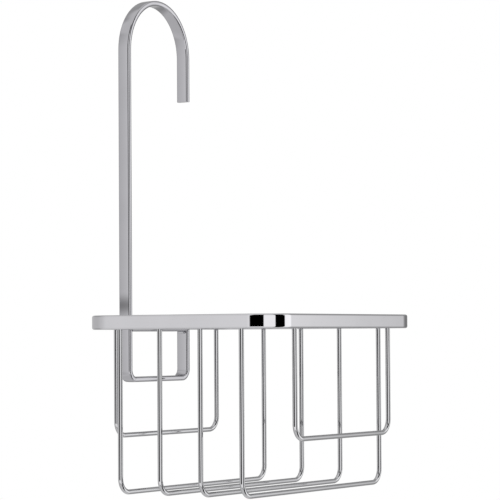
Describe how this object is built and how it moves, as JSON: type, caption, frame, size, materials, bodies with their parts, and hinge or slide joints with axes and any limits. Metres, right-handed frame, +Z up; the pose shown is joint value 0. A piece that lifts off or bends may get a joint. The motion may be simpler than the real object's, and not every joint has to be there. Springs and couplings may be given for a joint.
{
  "type": "hanging shower caddy",
  "caption": "Chromed wire basket on a flat-bar rim, hung from a tall flat-bar hook whose lower end loops back up to the rim; a crossbar closes the loop.",
  "frame": {"origin": "middle of the hook's arch, half way across its flat bar, where a round arm of the hook's own size would have its axis", "axes": "+Z up; +Y towards the wall, along the arm that the hook hangs on; +X along the wall, from the long leg towards the hook's free end"},
  "size_m": [0.2, 0.17, 0.3585],
  "materials": {
    "chrome_rim": "bright chrome plate, polished",
    "chrome_wire": "bright chrome plate on drawn wire",
    "chrome_bar": "bright chrome plate, lightly brushed under the plate",
    "chrome_weld": "chrome plate over a slightly uneven weld"
  },
  "bodies": {
    "root": {"rim_band": "chrome_rim", "basket_wire_1": "chrome_wire", "basket_wire_2": "chrome_wire", "basket_wire_3": "chrome_wire", "basket_wire_4": "chrome_wire", "front_guard_wire": "chrome_wire", "back_guard_wire": "chrome_wire", "hanger_strap": "chrome_bar", "loop_crossbar": "chrome_bar", "wire_welds": "chrome_weld", "hanger_welds": "chrome_weld"}
  },
  "joints": []
}
